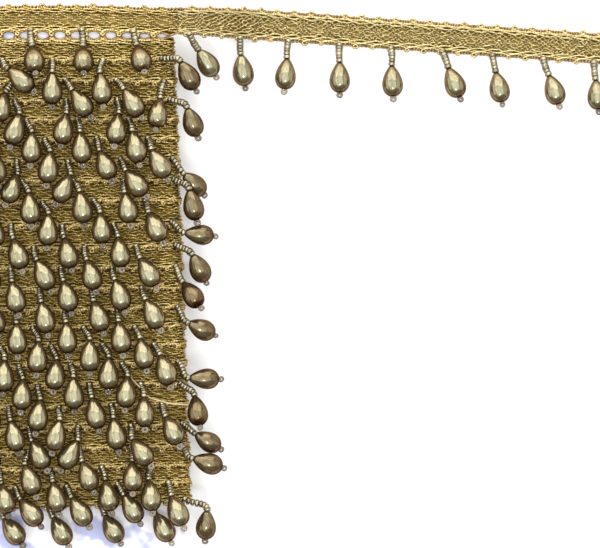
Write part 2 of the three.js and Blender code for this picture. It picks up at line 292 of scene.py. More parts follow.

# Tints: what the plies and the scatter of a yarn add to its lightness, how a bead's streaks are weakened and
# raised, and how far the card's lavender patches of painted shade clear towards its top
PLY_PITCH = 0.8
PLY_SHARE = 0.2
SCATTER_SHARE = 0.6
STREAK_SHARE = 0.5
STREAK_RISE = 0.5
CARD_SHADE_CLEARING = 0.12

# Sizes that follow from the ones above and from the frame
card_low, card_high = (np.array(corner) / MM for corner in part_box("card"))
HALF_WIDTH = CARD_WIDTH / 2
HALF_CARD = (card_high[2] - card_low[2]) / 2
MIDDLE_Z = (card_high[2] + card_low[2]) / 2
FRONT_Z = MIDDLE_Z + HALF_CARD + EDGE_DEPTH
ROLL_WIDTH = CARD_WIDTH + 2 * EDGE_DEPTH
ROLL_RIGHT = ROLL_WIDTH / 2
LAST_TURN = len(TURNS) - 1
SHIFT = np.array([(card_low[0] + card_high[0]) / 2, card_high[1] - CARD_TOP, 0.0])


# Small helpers

def lerp(a, b, share):
    return a + (b - a) * share


def smoothstep(value, low, high):
    share = np.clip((value - low) / (high - low), 0, 1)
    return share * share * (3 - 2 * share)


def unit(vectors):
    return vectors / np.linalg.norm(vectors, axis=-1, keepdims=True)


def waver(s, length, seed):
    """A smooth irregular curve between about -1 and 1, with swells of about this length."""
    draw = np.random.default_rng([SEED, seed])
    total = np.zeros_like(s, dtype=float)
    for _ in range(WAVER_WAVES):
        wave_length = length * draw.uniform(*WAVER_LENGTHS)
        total += np.sin(2 * np.pi * s / wave_length + draw.uniform(0, 2 * np.pi))
    return total / WAVER_REACH


# Meshes

class Shape:
    """Points and faces of one piece, gathered part by part. Each point also has four values for its finish.
    On a strand they are its millimetres along, its share of the way round, the strand's own number, and 0. On
    a bead they are its two distances off the bead's axis, the bead's own number, and the depth of its painted
    shade."""

    def __init__(self):
        self.points = []
        self.quads = []
        self.triangles = []
        self.strands = []
        self.count = 0

    def add(self, points, quads, triangles, strands=None):
        self.points.append(points)
        self.quads.append(np.asarray(quads, int).reshape(-1, 4) + self.count)
        self.triangles.append(np.asarray(triangles, int).reshape(-1, 3) + self.count)
        self.strands.append(np.zeros((len(points), 4)) if strands is None else strands)
        self.count += len(points)


def ring_faces(rings, sides):
    """Quads between rings of equal count, facing out."""
    ring, side = np.meshgrid(np.arange(rings - 1), np.arange(sides), indexing="ij")
    here = ring * sides + side
    beside = ring * sides + (side + 1) % sides
    return np.stack([here, beside, beside + sides, here + sides], axis=-1).reshape(-1, 4)


def add_tube(shape, points, out, radius, number, sides=3):
    """A closed tube along points, with one corner of its section facing out."""
    ahead = unit(np.gradient(points, axis=0))
    out = unit(out - ahead * np.sum(out * ahead, axis=1, keepdims=True))
    side = np.cross(ahead, out)
    angle = 2 * np.pi * np.arange(sides) / sides
    radius = np.broadcast_to(radius, len(points))[:, None, None]
    spread = np.cos(angle)[:, None] * out[:, None] + np.sin(angle)[:, None] * side[:, None]
    rings = points[:, None] + radius * spread
    last = (len(points) - 1) * sides
    fan = [(0, step, step + 1) for step in range(1, sides - 1)]
    ends = [(c, b, a) for a, b, c in fan] + [(last + a, last + b, last + c) for a, b, c in fan]
    along = np.concatenate([[0], np.cumsum(np.linalg.norm(np.diff(points, axis=0), axis=1))])
    strands = np.zeros((len(points), sides, 4))
    strands[..., 0] = along[:, None]
    strands[..., 1] = np.arange(sides) / sides
    strands[..., 2] = number
    shape.add(rings.reshape(-1, 3), ring_faces(len(points), sides), ends, strands.reshape(-1, 4))


def lathe(heights, radii, sides):
    """A closed turned form about z: its points, quads and triangles. The first and last heights are poles."""
    angle = 2 * np.pi * np.arange(sides) / sides
    circle = np.stack([np.cos(angle), np.sin(angle)], axis=1)
    rings = [np.column_stack([circle * radius, np.full(sides, height)])
             for height, radius in zip(heights[1:-1], radii[1:-1])]
    points = np.concatenate(rings + [[[0, 0, heights[0]], [0, 0, heights[-1]]]])
    first_pole = len(rings) * sides
    last_ring = first_pole - sides
    step = np.arange(sides)
    beside = (step + 1) % sides
    first = np.column_stack([beside, step, np.full(sides, first_pole)])
    last = np.column_stack([last_ring + step, last_ring + beside, np.full(sides, first_pole + 1)])
    return points, ring_faces(len(rings), sides), np.concatenate([first, last])


def ring_bead(radius, thickness, steps, sides):
    """A round ring about z: its points, quads and no triangles."""
    step, side = np.meshgrid(np.arange(steps), np.arange(sides), indexing="ij")
    turn = 2 * np.pi * step / steps
    tilt = 2 * np.pi * side / sides
    reach = radius + thickness * np.cos(tilt)
    points = np.stack([reach * np.cos(turn), reach * np.sin(turn), thickness * np.sin(tilt)], axis=-1)
    ahead = (step + 1) % steps * sides
    beside = (side + 1) % sides
    here = step * sides
    quads = np.stack([here + side, ahead + side, ahead + beside, here + beside], axis=-1)
    return points.reshape(-1, 3), quads.reshape(-1, 4), np.empty((0, 3), int)


def add_copies(shape, form, places, axes, sizes, lacquer=0.0):
    """Copies of a form at places. Each copy's z points along its axis, its size scales it, and its painted
    shade, which stands for the shade under a bead's tip, deepens towards its far end."""
    points, quads, triangles = form
    axes = unit(np.asarray(axes, float))
    side = unit(np.cross(axes, NEARLY_UP))
    third = np.cross(axes, side)
    turned = np.stack([side, third, axes], axis=1)
    copies = np.einsum("pk,nkj->npj", points, turned) * np.reshape(sizes, (-1, 1, 1))
    copies += np.asarray(places)[:, None]
    steps = (np.arange(len(copies)) * len(points))[:, None, None]
    strands = np.empty((*copies.shape[:2], 4))
    strands[..., :2] = points[:, :2]
    strands[..., 2] = (shape.count + np.arange(len(copies))[:, None]) * GOLDEN_RATIO % 1
    # Painted shade: deepest at a bead's far end, for the shade under its tip, plus the copy's own depth of it
    share = np.maximum(0, points[:, 2] / points[:, 2].max())
    strands[..., 3] = END_PAINTED_SHADE * share ** END_PAINTED_SHADE_POWER + np.reshape(lacquer, (-1, 1))
    shape.add(copies.reshape(-1, 3), quads[None] + steps, triangles[None] + steps, strands.reshape(-1, 4))


def make_piece(name, shape, material, nodes):
    """The shape as a mesh in the frame, riding on the root and standing for these nodes."""
    points = (np.concatenate(shape.points) + SHIFT) * MM
    quads = np.concatenate(shape.quads)
    triangles = np.concatenate(shape.triangles)
    corners = np.concatenate([quads.ravel(), triangles.ravel()])
    sizes = np.repeat([4, 3], [len(quads), len(triangles)])
    starts = np.concatenate([[0], np.cumsum(sizes)[:-1]])
    mesh = bpy.data.meshes.new(name)
    mesh.vertices.add(len(points))
    mesh.vertices.foreach_set("co", points.astype(np.float32).ravel())
    mesh.loops.add(len(corners))
    mesh.loops.foreach_set("vertex_index", corners.astype(np.int32))
    mesh.polygons.add(len(sizes))
    mesh.polygons.foreach_set("loop_start", starts.astype(np.int32))
    mesh.polygons.foreach_set("use_smooth", np.ones(len(sizes), bool))
    strands = np.concatenate(shape.strands).astype(np.float32)
    strand = mesh.attributes.new("strand", "FLOAT_VECTOR", "POINT")
    strand.data.foreach_set("vector", strands[:, :3].ravel())
    # The depth of painted shade at each point, read by the bead finish
    lacquer = mesh.attributes.new("lacquer", "FLOAT", "POINT")
    lacquer.data.foreach_set("value", strands[:, 3].copy())
    mesh.update(calc_edges=True)
    mesh.materials.append(material)
    piece = bpy.data.objects.new(name, mesh)
    bpy.context.scene.collection.objects.link(piece)
    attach(piece, "root")
    if nodes:
        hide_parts(*nodes)
    return piece


# The trim's way round the card and out along the loose end

def left_edge(turn):
    """How far down a turn's lower edge is at the card's left side."""
    edge = TURNS[turn].edge
    return edge - LEFT_RISE * (1 - edge / TURNS[LAST_TURN].edge)


def front_edge(turn, x):
    """The y of a turn's lower edge on the front."""
    share = np.clip(x / CARD_WIDTH + 0.5, 0, 1)
    return -lerp(left_edge(turn), TURNS[turn].edge, share)


def back_edge(turn, x):
    """The y of a turn's lower edge on the back, where it climbs to the turn above."""
    share = np.clip(x / CARD_WIDTH + 0.5, 0, 1)
    return -lerp(left_edge(turn - 1), TURNS[turn].edge, share)


CORNER = CORNER_DEPTH * np.pi / 2
TO_FRONT = HALF_CARD + CORNER
TO_BACK = TO_FRONT + CARD_WIDTH + CORNER + 2 * HALF_CARD + CORNER
LOOP = TO_BACK + CARD_WIDTH + TO_FRONT
TAIL_START = LAST_TURN * LOOP + TO_FRONT + CARD_WIDTH + EDGE_DEPTH + TAIL_GAP


def loop_start(turn):
    """How far along the trim a turn begins, at the card's left side. The lowest turn comes first."""
    return (LAST_TURN - turn) * LOOP


def stations():
    """Places on the way round: how far along the trim, x, y of the lower edge, z, and the angle outwards."""
    rows = []
    quarter = np.pi / 2
    high = MIDDLE_Z + HALF_CARD
    low = MIDDLE_Z - HALF_CARD
    for turn in range(LAST_TURN, -1, -1):
        start = loop_start(turn)
        left = -left_edge(turn)
        edge = -TURNS[turn].edge
        outward = np.pi - 2 * np.pi * (LAST_TURN - turn)
        rows += [
            (start, -HALF_WIDTH, left, MIDDLE_Z, outward),
            (start + HALF_CARD, -HALF_WIDTH, left, high, outward),
            (start + TO_FRONT, -HALF_WIDTH, left, high, outward - quarter),
            (start + TO_FRONT + CARD_WIDTH, HALF_WIDTH, edge, high, outward - quarter),
        ]
        if turn == 0:
            rows.append((TAIL_START, ROLL_RIGHT + TAIL_GAP, edge, high, outward - quarter))
            break
        above = -left_edge(turn - 1)
        rows += [
            (start + TO_BACK - CORNER - 2 * HALF_CARD, HALF_WIDTH, edge, high, outward - 2 * quarter),
            (start + TO_BACK - CORNER, HALF_WIDTH, edge, low, outward - 2 * quarter),
            (start + TO_BACK, HALF_WIDTH, edge, low, outward - 3 * quarter),
            (start + TO_BACK + CARD_WIDTH, -HALF_WIDTH, above, low, outward - 3 * quarter),
            (start + TO_BACK + CARD_WIDTH + CORNER, -HALF_WIDTH, above, low, outward - 4 * quarter),
        ]
    return np.array(rows).T


STATIONS = stations()


def tail_middle(along):
    """The underside's middle line of the loose end."""
    bend = np.minimum(along, TAIL_BEND)
    fall = TAIL_START_SLOPE * bend + (TAIL_SLOPE - TAIL_START_SLOPE) * bend * bend / (2 * TAIL_BEND)
    fall = fall + TAIL_SLOPE * (along - bend)
    y = -TURNS[0].edge + BRAID_WIDTH / 2 - fall
    z = (FRONT_Z - BRAID_THICKNESS) * (1 - smoothstep(along, 0, TAIL_FALL))
    return np.stack([ROLL_RIGHT + TAIL_GAP + along, y, z], axis=-1)


def tail_points(along, across, lift):
    """Points on the loose end and the way out there."""
    behind = np.maximum(0, along - TAIL_HEADING_REACH)
    ahead = unit(tail_middle(along + TAIL_HEADING_REACH) - tail_middle(behind))
    upward = unit(np.cross(UP, ahead))
    out = np.cross(ahead, upward)
    height = BRAID_THICKNESS / 2 + lift
    points = tail_middle(along) + upward * (across - BRAID_WIDTH / 2)[:, None] + out * height[:, None]
    return points, out


def stretch():
    """How far each turn is drawn out across, so that its upper edge reaches under the turn above. The second
    turn is drawn in instead, which opens the row of holes above it. On the back, each turn's value changes to
    the next one's."""
    pitches = np.diff([turn.edge for turn in TURNS])
    drawn = np.maximum(1, (pitches + TUCK) / BRAID_WIDTH)
    drawn[0] = DRAWN_IN
    starts = loop_start(np.arange(LAST_TURN, -1, -1))
    factors = np.concatenate([drawn[::-1], [1]])
    return np.column_stack([starts, starts + TO_BACK]).ravel(), np.repeat(factors, 2)


STRETCH = stretch()


def trim_points(s, across, lift):
    """Points on the trim and the way out there, for places along it, across it and lifted off its layer."""
    s, across, lift = np.broadcast_arrays(np.asarray(s, float), across, lift)
    wound = np.minimum(s, TAIL_START)
    x, y, z, angle = (np.interp(wound, STATIONS[0], column) for column in STATIONS[1:])
    held = 1 - smoothstep(s, TAIL_START - TILT_RELEASE, TAIL_START)
    high_tilt = lerp(SIDE_TILT, HIGH_TILT, np.abs(np.sin(angle)))
    depth = LAYER_DEPTH + held * lerp(LOW_TILT, high_tilt, across / BRAID_WIDTH) + lift
    out = np.stack([np.cos(angle), np.zeros_like(angle), np.sin(angle)], axis=-1)
    y = y + held * ROW_WAVER * waver(wound, ROW_WAVER_LENGTH, ROW_SEED) + across * np.interp(wound, *STRETCH)
    points = np.stack([x, y, z], axis=-1) + out * depth[:, None]
    loose = s > TAIL_START
    along = s[loose] - TAIL_START
    spread = lerp(1, TAIL_SPREAD, smoothstep(along, 0, TAIL_BEND))
    loose_across = CORD_HIGH - (CORD_HIGH - across[loose]) * spread
    points[loose], out[loose] = tail_points(along, loose_across, lift[loose])
    sag = smoothstep(s, TAIL_START - TAIL_SAG_START, TAIL_START)
    points[..., 1] -= TAIL_SAG * (sag - smoothstep(s, TAIL_START, TAIL_START + TAIL_FALL))
    return points, out


# Braid

def paces():
    """Places along the trim, and how far each would be if the back, where steps are wider, were shorter."""
    starts = loop_start(np.arange(LAST_TURN, 0, -1))
    backs = np.column_stack([starts + TO_BACK, starts + TO_BACK + CARD_WIDTH]).ravel()
    places = np.concatenate([[0], backs, [TAIL_START + TAIL_LENGTH]])
    lengths = np.diff(places)
    lengths[1::2] /= BACK_STEP
    return places, np.concatenate([[0], np.cumsum(lengths)])


PACES = paces()


def steps_between(start, end, step):
    """Places along the trim, this far apart on the front and on the loose end."""
    first, last = np.interp([start, end], *PACES)
    even = np.linspace(first, last, int(np.ceil((last - first) / step)) + 1)
    return np.interp(even, PACES[1], PACES[0])


def add_body(shape, start, end, count, length, reach, step):
    """Wavy yarns side by side, with waves of this length and reach. Each one passes over its upper neighbour
    and under its lower one."""
    s = steps_between(start, end, step)
    phase = 2 * np.pi * s / length + BODY_DRIFT * waver(s, YARN_DRIFT_LENGTH, BODY_SEED)
    for yarn in range(count):
        drift = YARN_DRIFT * waver(s, YARN_DRIFT_LENGTH, DRIFT_SEED + yarn)
        wave = np.sin(phase + np.pi * yarn + drift)
        sway = reach * (1 + YARN_UNEVEN * waver(s, YARN_SWELL_LENGTH, SWAY_SEED + yarn))
        across = lerp(BODY_LOW, BODY_HIGH, yarn / (count - 1)) + sway * wave
        radius = YARN_RADIUS * (1 + YARN_UNEVEN * waver(s, YARN_SWELL_LENGTH, SWELL_SEED + yarn))
        add_tube(shape, *trim_points(s, across, YARN_LIFT * wave), radius, yarn / count)


def add_cord(shape, start, end, middle, side):
    """Two strands with a long lay along the lower (side -1) or upper (side 1) edge."""
    s = steps_between(start, end, CORD_STEP)
    for strand in range(2):
        phase = side * 2 * np.pi * s / CORD_TWIST + np.pi * strand
        across = middle + CORD_SPREAD * np.cos(phase)
        lift = CORD_LIFT + CORD_RISE * np.sin(phase)
        add_tube(shape, *trim_points(s, across, lift), CORD_RADIUS, (strand + 1) / 3)


def add_edging(shape, start, end, edge, side, size=1.0, strands=2, scallop=0.0, offset=0.0):
    """Fine yarns in close waves outside the cord of the lower (side -1) or upper (side 1) edge. A scallop
    takes them out towards each picot."""
    s = steps_between(start, end, EDGING_STEP)
    for strand in range(strands):
        drift = waver(s, YARN_DRIFT_LENGTH, EDGING_SEED + side)
        phase = 2 * np.pi * s / EDGING_WAVE + np.pi * strand + drift
        bay = scallop * (1 + np.cos(2 * np.pi * (s - offset) / PICOT_PITCH)) / 2
        across = edge + side * (EDGING_OFFSET + bay) + size * EDGING_SWAY * np.sin(phase)
        lift = EDGING_LIFT * np.cos(phase)
        add_tube(shape, *trim_points(s, across, lift), EDGING_RADIUS, (strand + 1) / 3)


def add_picots(shape, start, end, edge, side, offset=0.0, size=1.0):
    """A yarn that curls into a small ring at each picot, along the lower (side -1) or upper (side 1) edge. It
    begins and ends midway between picots."""
    first, last = np.array([start - offset, end - offset]) / PICOT_PITCH - 0.5
    steps = np.arange(np.ceil(first) * PICOT_STEPS, np.floor(last) * PICOT_STEPS + 1)
    turns = steps / PICOT_STEPS + 0.5
    phase = 2 * np.pi * turns
    uneven = 1 + PICOT_UNEVEN * waver(turns, PICOT_UNEVEN_LENGTH, PICOT_SEED + side)
    stray = PICOT_STRAY * waver(turns, PICOT_STRAY_LENGTH, STRAY_SEED)
    s = offset + PICOT_PITCH * turns - uneven * PICOT_CURL * np.sin(phase) + stray
    across = edge + side * (PICOT_OFFSET + size * uneven * PICOT_HEIGHT * (1 + np.cos(phase)) / 2)
    lift = PICOT_LIFT * (1 + np.sin(phase))
    add_tube(shape, *trim_points(np.clip(s, start, end), across, lift), size * PICOT_RADIUS, PICOT_NUMBER)


def add_core(shape, start, end):
    """A thin band behind the yarns, its dark colour painted shade seen between them."""
    s = steps_between(start, end, CORE_STEP)
    corners = [(CORE_LOW, 0), (CORE_LOW, 1), (CORE_HIGH, 1), (CORE_HIGH, 0)]
    rings = [trim_points(s, across, CORE_DEPTH - CORE_THICKNESS * (1 - outer))[0]
             for across, outer in corners]
    points = np.stack(rings, axis=1).reshape(-1, 3)
    last = len(points) - 4
    ends = [(0, 2, 1), (0, 3, 2), (last, last + 1, last + 2), (last, last + 2, last + 3)]
    shape.add(points, ring_faces(len(s), 4), ends)


def add_hole_row(yarns, edgings):
    """The edges that can be seen at the top: the upper one of the top turn, and its lower one and the next
    turn's upper one, whose larger picots meet between a row of holes."""
    top = loop_start(0) + TO_FRONT
    below = loop_start(1) + TO_FRONT
    to_side = below + CARD_WIDTH + CORNER + HALF_CARD
    shift_below = LOW_PICOT_SHIFT - LOOP
    add_picots(yarns, top, TAIL_START, CORD_HIGH, 1, TOP_PICOT_SHIFT)
    add_edging(edgings, top, TAIL_START, CORD_HIGH, 1, OPEN_EDGING)
    add_picots(yarns, top, TAIL_START, CORD_LOW, -1, LOW_PICOT_SHIFT, HOLE_PICOTS)
    add_edging(edgings, top, TAIL_START, CORD_LOW, -1, HOLE_EDGING, 2, HOLE_SCALLOP, LOW_PICOT_SHIFT)
    add_picots(yarns, below, to_side, CORD_HIGH, 1, shift_below, HOLE_PICOTS)
    add_edging(edgings, below, to_side, CORD_HIGH, 1, HOLE_EDGING, 2, HOLE_SCALLOP, shift_below)


def make_wound_braid():
    """The wound braid, some turns to a piece. Upper edgings and picots under another turn are left out."""
    nodes = ["wound_braid"]
    top = loop_start(0) + TO_FRONT
    core = Shape()
    # The band under the turns below the top one is painted deeper shade than the top turn's
    add_core(core, 0, top)
    make_piece("winding_core", core, CORE_PAINTED_SHADE_LOOK, nodes)
    top_core = Shape()
    add_core(top_core, top, TAIL_START)
    make_piece("top_core", top_core, CORE_PAINTED_LIGHTER_SHADE_LOOK, nodes)
    for last in range(LAST_TURN, 0, -TURNS_IN_A_PIECE):
        first = last - TURNS_IN_A_PIECE + 1
        start = loop_start(last)
        end = loop_start(first - 1) if first > 0 else TAIL_START
        yarns = Shape()
        edgings = Shape()
        add_body(yarns, start, end, BODY_YARNS, YARN_WAVE, YARN_SWAY, YARN_STEP)
        add_cord(yarns, start, end, CORD_LOW, -1)
        add_cord(yarns, start, end, CORD_HIGH, 1)
        if first == 0:
            add_hole_row(yarns, edgings)
            end = top
        add_edging(edgings, start, end, CORD_LOW, -1, 1, 1)
        add_picots(yarns, start, end, CORD_LOW, -1)
        turns = f"turns_{first + 1:02d}_to_{last + 1:02d}"
        make_piece(f"braid_{turns}", yarns, YARN_PAINTED_SHADE_LOOK, nodes)
        make_piece(f"edging_{turns}", edgings, EDGING_LOOK, nodes)


def make_tail_braid():
    """The loose end's band, yarns and edgings, each as one piece."""
    start = TAIL_START
    end = TAIL_START + TAIL_LENGTH
    nodes = ["tail_braid"]
    core = Shape()
    yarns = Shape()
    edgings = Shape()
    add_core(core, start, end)
    add_body(yarns, start, end, TAIL_BODY_YARNS, TAIL_YARN_WAVE, TAIL_YARN_SWAY, TAIL_YARN_STEP)
    for edge, side, shift in ((CORD_LOW, -1, LOW_PICOT_SHIFT), (CORD_HIGH, 1, 0.0)):
        add_cord(yarns, start, end, edge, side)
        add_edging(edgings, start, end, edge, side, OPEN_EDGING)
        add_picots(yarns, start, end, edge, side, shift)
    return (
        make_piece("tail_core", core, CORE_PAINTED_LIGHTER_SHADE_LOOK, nodes),
        make_piece("tail_yarns", yarns, TAIL_YARN_PAINTED_LIGHT_LOOK, nodes),
        make_piece("tail_edgings", edgings, EDGING_LOOK, nodes),
    )


def make_loose_stitch():
    """A short bright end of yarn that has worked out of the front."""
    knots = np.array(LOOSE_STITCH)
    share = np.linspace(0, len(knots) - 1, LOOSE_STITCH_STEPS * len(knots))
    points = np.column_stack([np.interp(share, np.arange(len(knots)), column) for column in knots.T])
    shape = Shape()
    out = np.tile(UP, (len(points), 1))
    add_tube(shape, points, out, LOOSE_STITCH_RADIUS, STITCH_NUMBER, LOOSE_STITCH_SIDES)
    make_piece("loose_stitch", shape, STITCH_LOOK, [])


# Drops

def bead_profile():
    """Heights and radii of a teardrop with its narrow end, which is blunt, at height 0."""
    angle = np.linspace(BEAD_NECK_ANGLE, np.pi, BEAD_RINGS + 1)
    radii = np.sin(angle) * np.sin(angle / 2) ** BEAD_TAPER
    heights = np.cos(BEAD_NECK_ANGLE) - np.cos(angle)
    heights = np.concatenate([[0], heights / heights[-1]])
    radii = np.concatenate([[0], radii / radii.max()])
    return BEAD_LENGTH * heights, BEAD_RADIUS * radii


def stem_bead_form():
    """A short barrel with rounded ends, centred on its middle."""
    heights, radii = np.array(STEM_BEAD_PROFILE).T
    return lathe(heights * STEM_BEAD_LENGTH, radii * STEM_BEAD_RADIUS, STEM_BEAD_SIDES)


BEAD_HEIGHTS, BEAD_RADII = bead_profile()
BEAD_BELLY = BEAD_HEIGHTS[np.argmax(BEAD_RADII)]
BEAD_FORM = lathe(BEAD_HEIGHTS, BEAD_RADII, BEAD_SIDES)
STEM_BEAD_FORM = stem_bead_form()
END_BEAD_FORM = ring_bead(END_BEAD_RADIUS, END_BEAD_THICKNESS, END_BEAD_STEPS, END_BEAD_SIDES)

Drop = namedtuple("Drop", "root heading neck axis lacquer", defaults=(0.0,))


def swing_way(swing):
    """The level way that a drop points, swung by this many degrees to the right of straight down."""
    angle = np.radians(swing)
    return np.array([np.sin(angle), -np.cos(angle), 0.0])


def drop_at(root, model_root, swing, lie, rest, dip=0, bead_swing=None, lean=None):
    """A drop from its root on the braid. The model's root, swing, lie, rest and dip place its belly, and its
    bead may swing or lean another way than its stem does."""
    heading = swing_way(swing)
    run = (BELLY - NECK) * lie.reach
    neck_height = lerp(model_root[2], rest, lie.neck_share)
    tilt = -np.radians(dip) if dip else np.arctan2(rest - neck_height, run)
    belly = model_root + heading * BELLY * lie.reach
    belly[2] = neck_height + np.tan(tilt) * run
    facing = heading if bead_swing is None else swing_way(bead_swing)
    tilt = tilt if lean is None else np.radians(lean)
    axis = facing * np.cos(tilt) + UP * np.sin(tilt)
    return Drop(root, heading, belly - axis * BEAD_BELLY, axis)


def front_drops(turn):
    """A turn's drops on the front, and the one over the right edge where there is one."""
    row = TURNS[turn]
    rest = FRONT_Z + (LAST_TURN_REST if turn == LAST_TURN else FRONT_REST)
    leans = np.random.default_rng([SEED, turn]).uniform(*(FRONT_LEAN if turn else TOP_LEAN), len(row.swings))

    def hang(inset, swing, lie, **turned):
        x = ROLL_RIGHT - inset
        model_root = np.array([x, front_edge(turn, x) - ROOT_DROP, MIDDLE_Z + HALF_CARD + ROOT_DEPTH])
        root = trim_points([loop_start(turn) + TO_FRONT + HALF_WIDTH + x], CORD_LOW, ROOT_LIFT)[0][0]
        return drop_at(root, model_root, swing, lie, rest, **turned)

    drops = [hang(row.first_drop + number * DROP_PITCH, swing, TILTED, lean=lean)
             for number, (swing, lean) in enumerate(zip(row.swings, leans))]
    if row.edge_drop:
        drop = hang(row.edge_drop, row.edge_swing, LEVEL, dip=row.edge_dip, bead_swing=row.bead_swing)
        # Beads that swing out over the right edge are darkened all over by painted shade, for the shade there
        drops.append(drop._replace(lacquer=EDGE_PAINTED_SHADE if row.edge_swing > 0 else 0.0))
    return drops


def back_drops(turn):
    """A turn's drops on the back, which hang straight down and rest on the floor."""
    drops = []
    first = BACK_FIRST_DROP + turn * BACK_STAGGER % DROP_PITCH
    for inset in np.arange(first, ROLL_WIDTH - BACK_MARGIN, DROP_PITCH):
        x = ROLL_RIGHT - inset
        model_root = np.array([x, back_edge(turn, x) - ROOT_DROP, MIDDLE_Z - HALF_CARD - ROOT_DEPTH])
        root = trim_points([loop_start(turn) + TO_BACK + HALF_WIDTH - x], CORD_LOW, ROOT_LIFT)[0][0]
        drops.append(drop_at(root, model_root, 0, LEVEL, FLOOR_REST))
    return drops


def tail_drops(start, end):
    """The loose end's drops whose roots are between these places along it."""
    drops = []
    for number, swing in enumerate(TAIL_SWINGS):
        along = np.array([TAIL_FIRST_DROP + number * DROP_PITCH])
        if start < along[0] < end:
            root = trim_points(TAIL_START + along, TAIL_ROOT, ROOT_LIFT)[0][0]
            model_root = tail_points(along, np.array([-ROOT_DROP]), np.array([-BRAID_THICKNESS / 2]))[0][0]
            model_root[2] += TAIL_ROOT_HEIGHT
            rest = max(FLOOR_REST, model_root[2] - TAIL_MOST_FALL)
            # The loose end's beads get a little painted shade all over
            drops.append(drop_at(root, model_root, swing, LONG, rest)._replace(lacquer=TAIL_PAINTED_SHADE))
    return drops


def bead_gap(first, second):
    """The least gap between two drops' beads, each taken as a row of balls."""
    near, far = (drop.neck + drop.axis * BEAD_HEIGHTS[1:-1, None] for drop in (first, second))
    reach = BEAD_SIZES[1] * BEAD_RADII[1:-1]
    apart = np.linalg.norm(near[:, None] - far, axis=2)
    return np.min(apart - reach[:, None] - reach)


def moved(drop, tip, turn, lift):
    """The drop with its bead moved about its belly: tipped up and turned right by degrees, and lifted."""
    belly = drop.neck + drop.axis * BEAD_BELLY + UP * lift
    tilt = np.arcsin(drop.axis[2]) + np.radians(tip)
    swing = np.degrees(np.arctan2(drop.axis[0], -drop.axis[1])) + turn
    axis = swing_way(swing) * np.cos(tilt) + UP * np.sin(tilt)
    return drop._replace(neck=belly - axis * BEAD_BELLY, axis=axis)


def near_start(drop, start):
    """Whether a bead that has been moved is still near enough to where it started."""
    lift = drop.neck[2] - start.neck[2] + (drop.axis[2] - start.axis[2]) * BEAD_BELLY
    turned = drop.axis @ start.axis < np.cos(np.radians(MOST_BEAD_TURN))
    return -MOST_BEAD_FALL < lift < MOST_BEAD_LIFT and not turned


def part_beads(rows):
    """The rows of drops, with beads that would touch moved little by little until they are clear."""
    starts = [drop for row in rows for drop in row]
    drops = list(starts)

    def neighbours(start):
        return [number for number, drop in enumerate(starts)
                if drop is not start and bead_gap(start, drop) < BEAD_RADIUS]

    near = [neighbours(start) for start in starts]

    def room(number, drop):
        return min((bead_gap(drop, drops[other]) for other in near[number]), default=BEAD_RADIUS)

    for _ in range(MOST_MOVES):
        for number, drop in enumerate(drops):
            if room(number, drop) < BEAD_CLEARANCE:
                tries = [moved(drop, *move) for move in BEAD_MOVES]
                choices = [drop] + [choice for choice in tries if near_start(choice, starts[number])]
                drops[number] = choices[np.argmax([room(number, choice) for choice in choices])]
    parted = iter(drops)
    return [[next(parted) for _ in row] for row in rows]


def stem_curve(drop, bend):
    """Points along a stem that leaves its root the drop's way and comes to the bead's neck along its axis.
    The odd ones are the middles of its beads."""
    length = np.linalg.norm(drop.neck - drop.root)
    after = drop.root + drop.heading * length * STEM_EASE + bend
    before = drop.neck - drop.axis * length * STEM_EASE + bend
    beads = int(np.ceil(length / STEM_BEAD_LENGTH))
    share = np.linspace(0, 1, 2 * beads + 1)[:, None]
    rest = 1 - share
    return (rest ** 3 * drop.root + 3 * share * rest ** 2 * after
            + 3 * share ** 2 * rest * before + share ** 3 * drop.neck)


def make_drops(name, drops, nodes):
    """The teardrop beads, the stems, the end beads and the threads of these drops."""
    draw = np.random.default_rng([SEED, *name.encode()])
    beads, stems, stoppers, threads = (Shape() for _ in range(4))
    necks = np.array([drop.neck for drop in drops])
    axes = np.array([drop.axis for drop in drops])
    sizes = draw.uniform(*BEAD_SIZES, len(drops))
    add_copies(beads, BEAD_FORM, necks, axes, sizes, [drop.lacquer for drop in drops])
    ends = necks + axes * (BEAD_LENGTH * sizes + END_BEAD_RADIUS)[:, None]
    facing = np.cross(axes, END_BEAD_TURN * draw.normal(size=(len(drops), 3)) + np.cross(axes, UP))
    add_copies(stoppers, END_BEAD_FORM, ends, facing, draw.uniform(*END_BEAD_SIZES, len(drops)))
    for drop, end in zip(drops, ends):
        side = unit(np.cross(drop.axis, UP))
        curve = stem_curve(drop, side * draw.uniform(-STEM_BEND, STEM_BEND))
        middles = curve[1::2]
        add_copies(stems, STEM_BEAD_FORM, middles, curve[2::2] - curve[:-2:2],
                   draw.uniform(*STEM_BEAD_SIZES, len(middles)))
        line = np.concatenate([curve[::2], [end]])
        add_tube(threads, line, np.tile(UP, (len(line), 1)), THREAD_RADIUS, THREAD_NUMBER)
    return [
        make_piece(f"{name}_beads", beads, PEARL_LOOK, nodes),
        make_piece(f"{name}_stems", stems, STEM_LOOK, nodes),
        make_piece(f"{name}_end_beads", stoppers, END_BEAD_LOOK, nodes),
        make_piece(f"{name}_threads", threads, YARN_PAINTED_SHADE_LOOK, nodes),
    ]


# Finishes

def look(name, **values):
    """A new material: its node tree and its shader, with these values on the shader's own sockets."""
    material = bpy.data.materials.new(name)
    material.use_nodes = True
    tree = material.node_tree
    shader = tree.nodes["Principled BSDF"]
    for socket, value in values.items():
        shader.inputs[socket.replace("_", " ").title().replace("Ior", "IOR")].default_value = value
    return material, tree, shader


def node(tree, kind, **settings):
    """A new node of this kind with these settings."""
    made = tree.nodes.new(kind)
    for name, value in settings.items():
        setattr(made, name, value)
    return made


